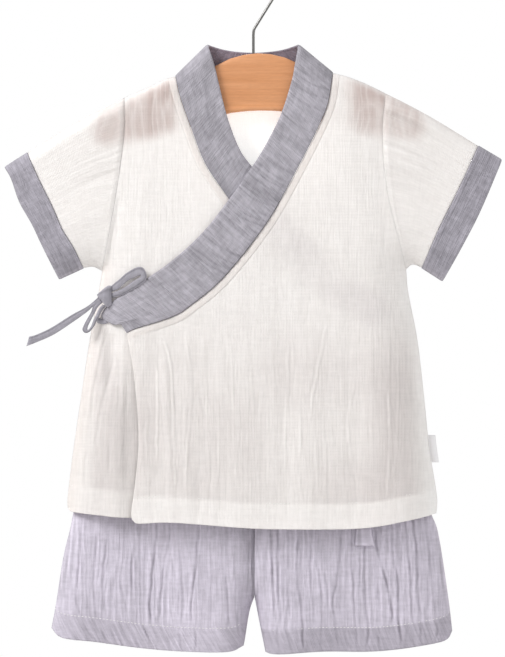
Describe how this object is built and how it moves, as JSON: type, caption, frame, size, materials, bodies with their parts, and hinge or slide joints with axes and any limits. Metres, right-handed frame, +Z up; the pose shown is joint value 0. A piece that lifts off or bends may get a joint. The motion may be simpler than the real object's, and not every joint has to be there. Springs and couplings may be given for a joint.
{
  "type": "toddler pyjama set of wrap top and shorts on a wooden hanger",
  "caption": "Short-sleeved wrap top with a tied side and band collar over elastic-waist shorts, in crinkled double gauze, hung on a wooden hanger with a wire hook.",
  "frame": {"origin": "point where the inside of the hook's bend rests on a rail", "axes": "+Z up, -Y out of the garment's front, +X to the right of someone who looks at the front"},
  "size_m": [0.4346, 0.0531, 0.5981],
  "materials": {
    "gauze_white": "matte crinkled double gauze, warm white",
    "gauze_grey": "matte crinkled double gauze, slate grey with a blue tint",
    "tie_grey": "matte sewn tube of the trim cloth",
    "label_woven": "fine woven satin tape, bare",
    "gauze_lilac": "matte crinkled double gauze, lilac grey",
    "beech": "thin clear lacquer",
    "steel_wire": "polished wire"
  },
  "bodies": {
    "root": {"back_panel": "gauze_white", "front_over": "gauze_white", "front_under": "gauze_white", "sleeve_left": "gauze_white", "sleeve_right": "gauze_white", "cuff_left": "gauze_grey", "cuff_right": "gauze_grey", "collar_band": "gauze_grey", "tie_knot": "tie_grey", "tie_loop_upper": "tie_grey", "tie_loop_lower": "tie_grey", "tie_tail": "tie_grey", "tie_side_strap": "tie_grey", "size_label": "label_woven", "shorts_leg_left": "gauze_lilac", "shorts_leg_right": "gauze_lilac", "waistband": "gauze_lilac", "waist_tie": "gauze_lilac", "hanger_wood": "beech", "hook": "steel_wire"}
  },
  "joints": []
}
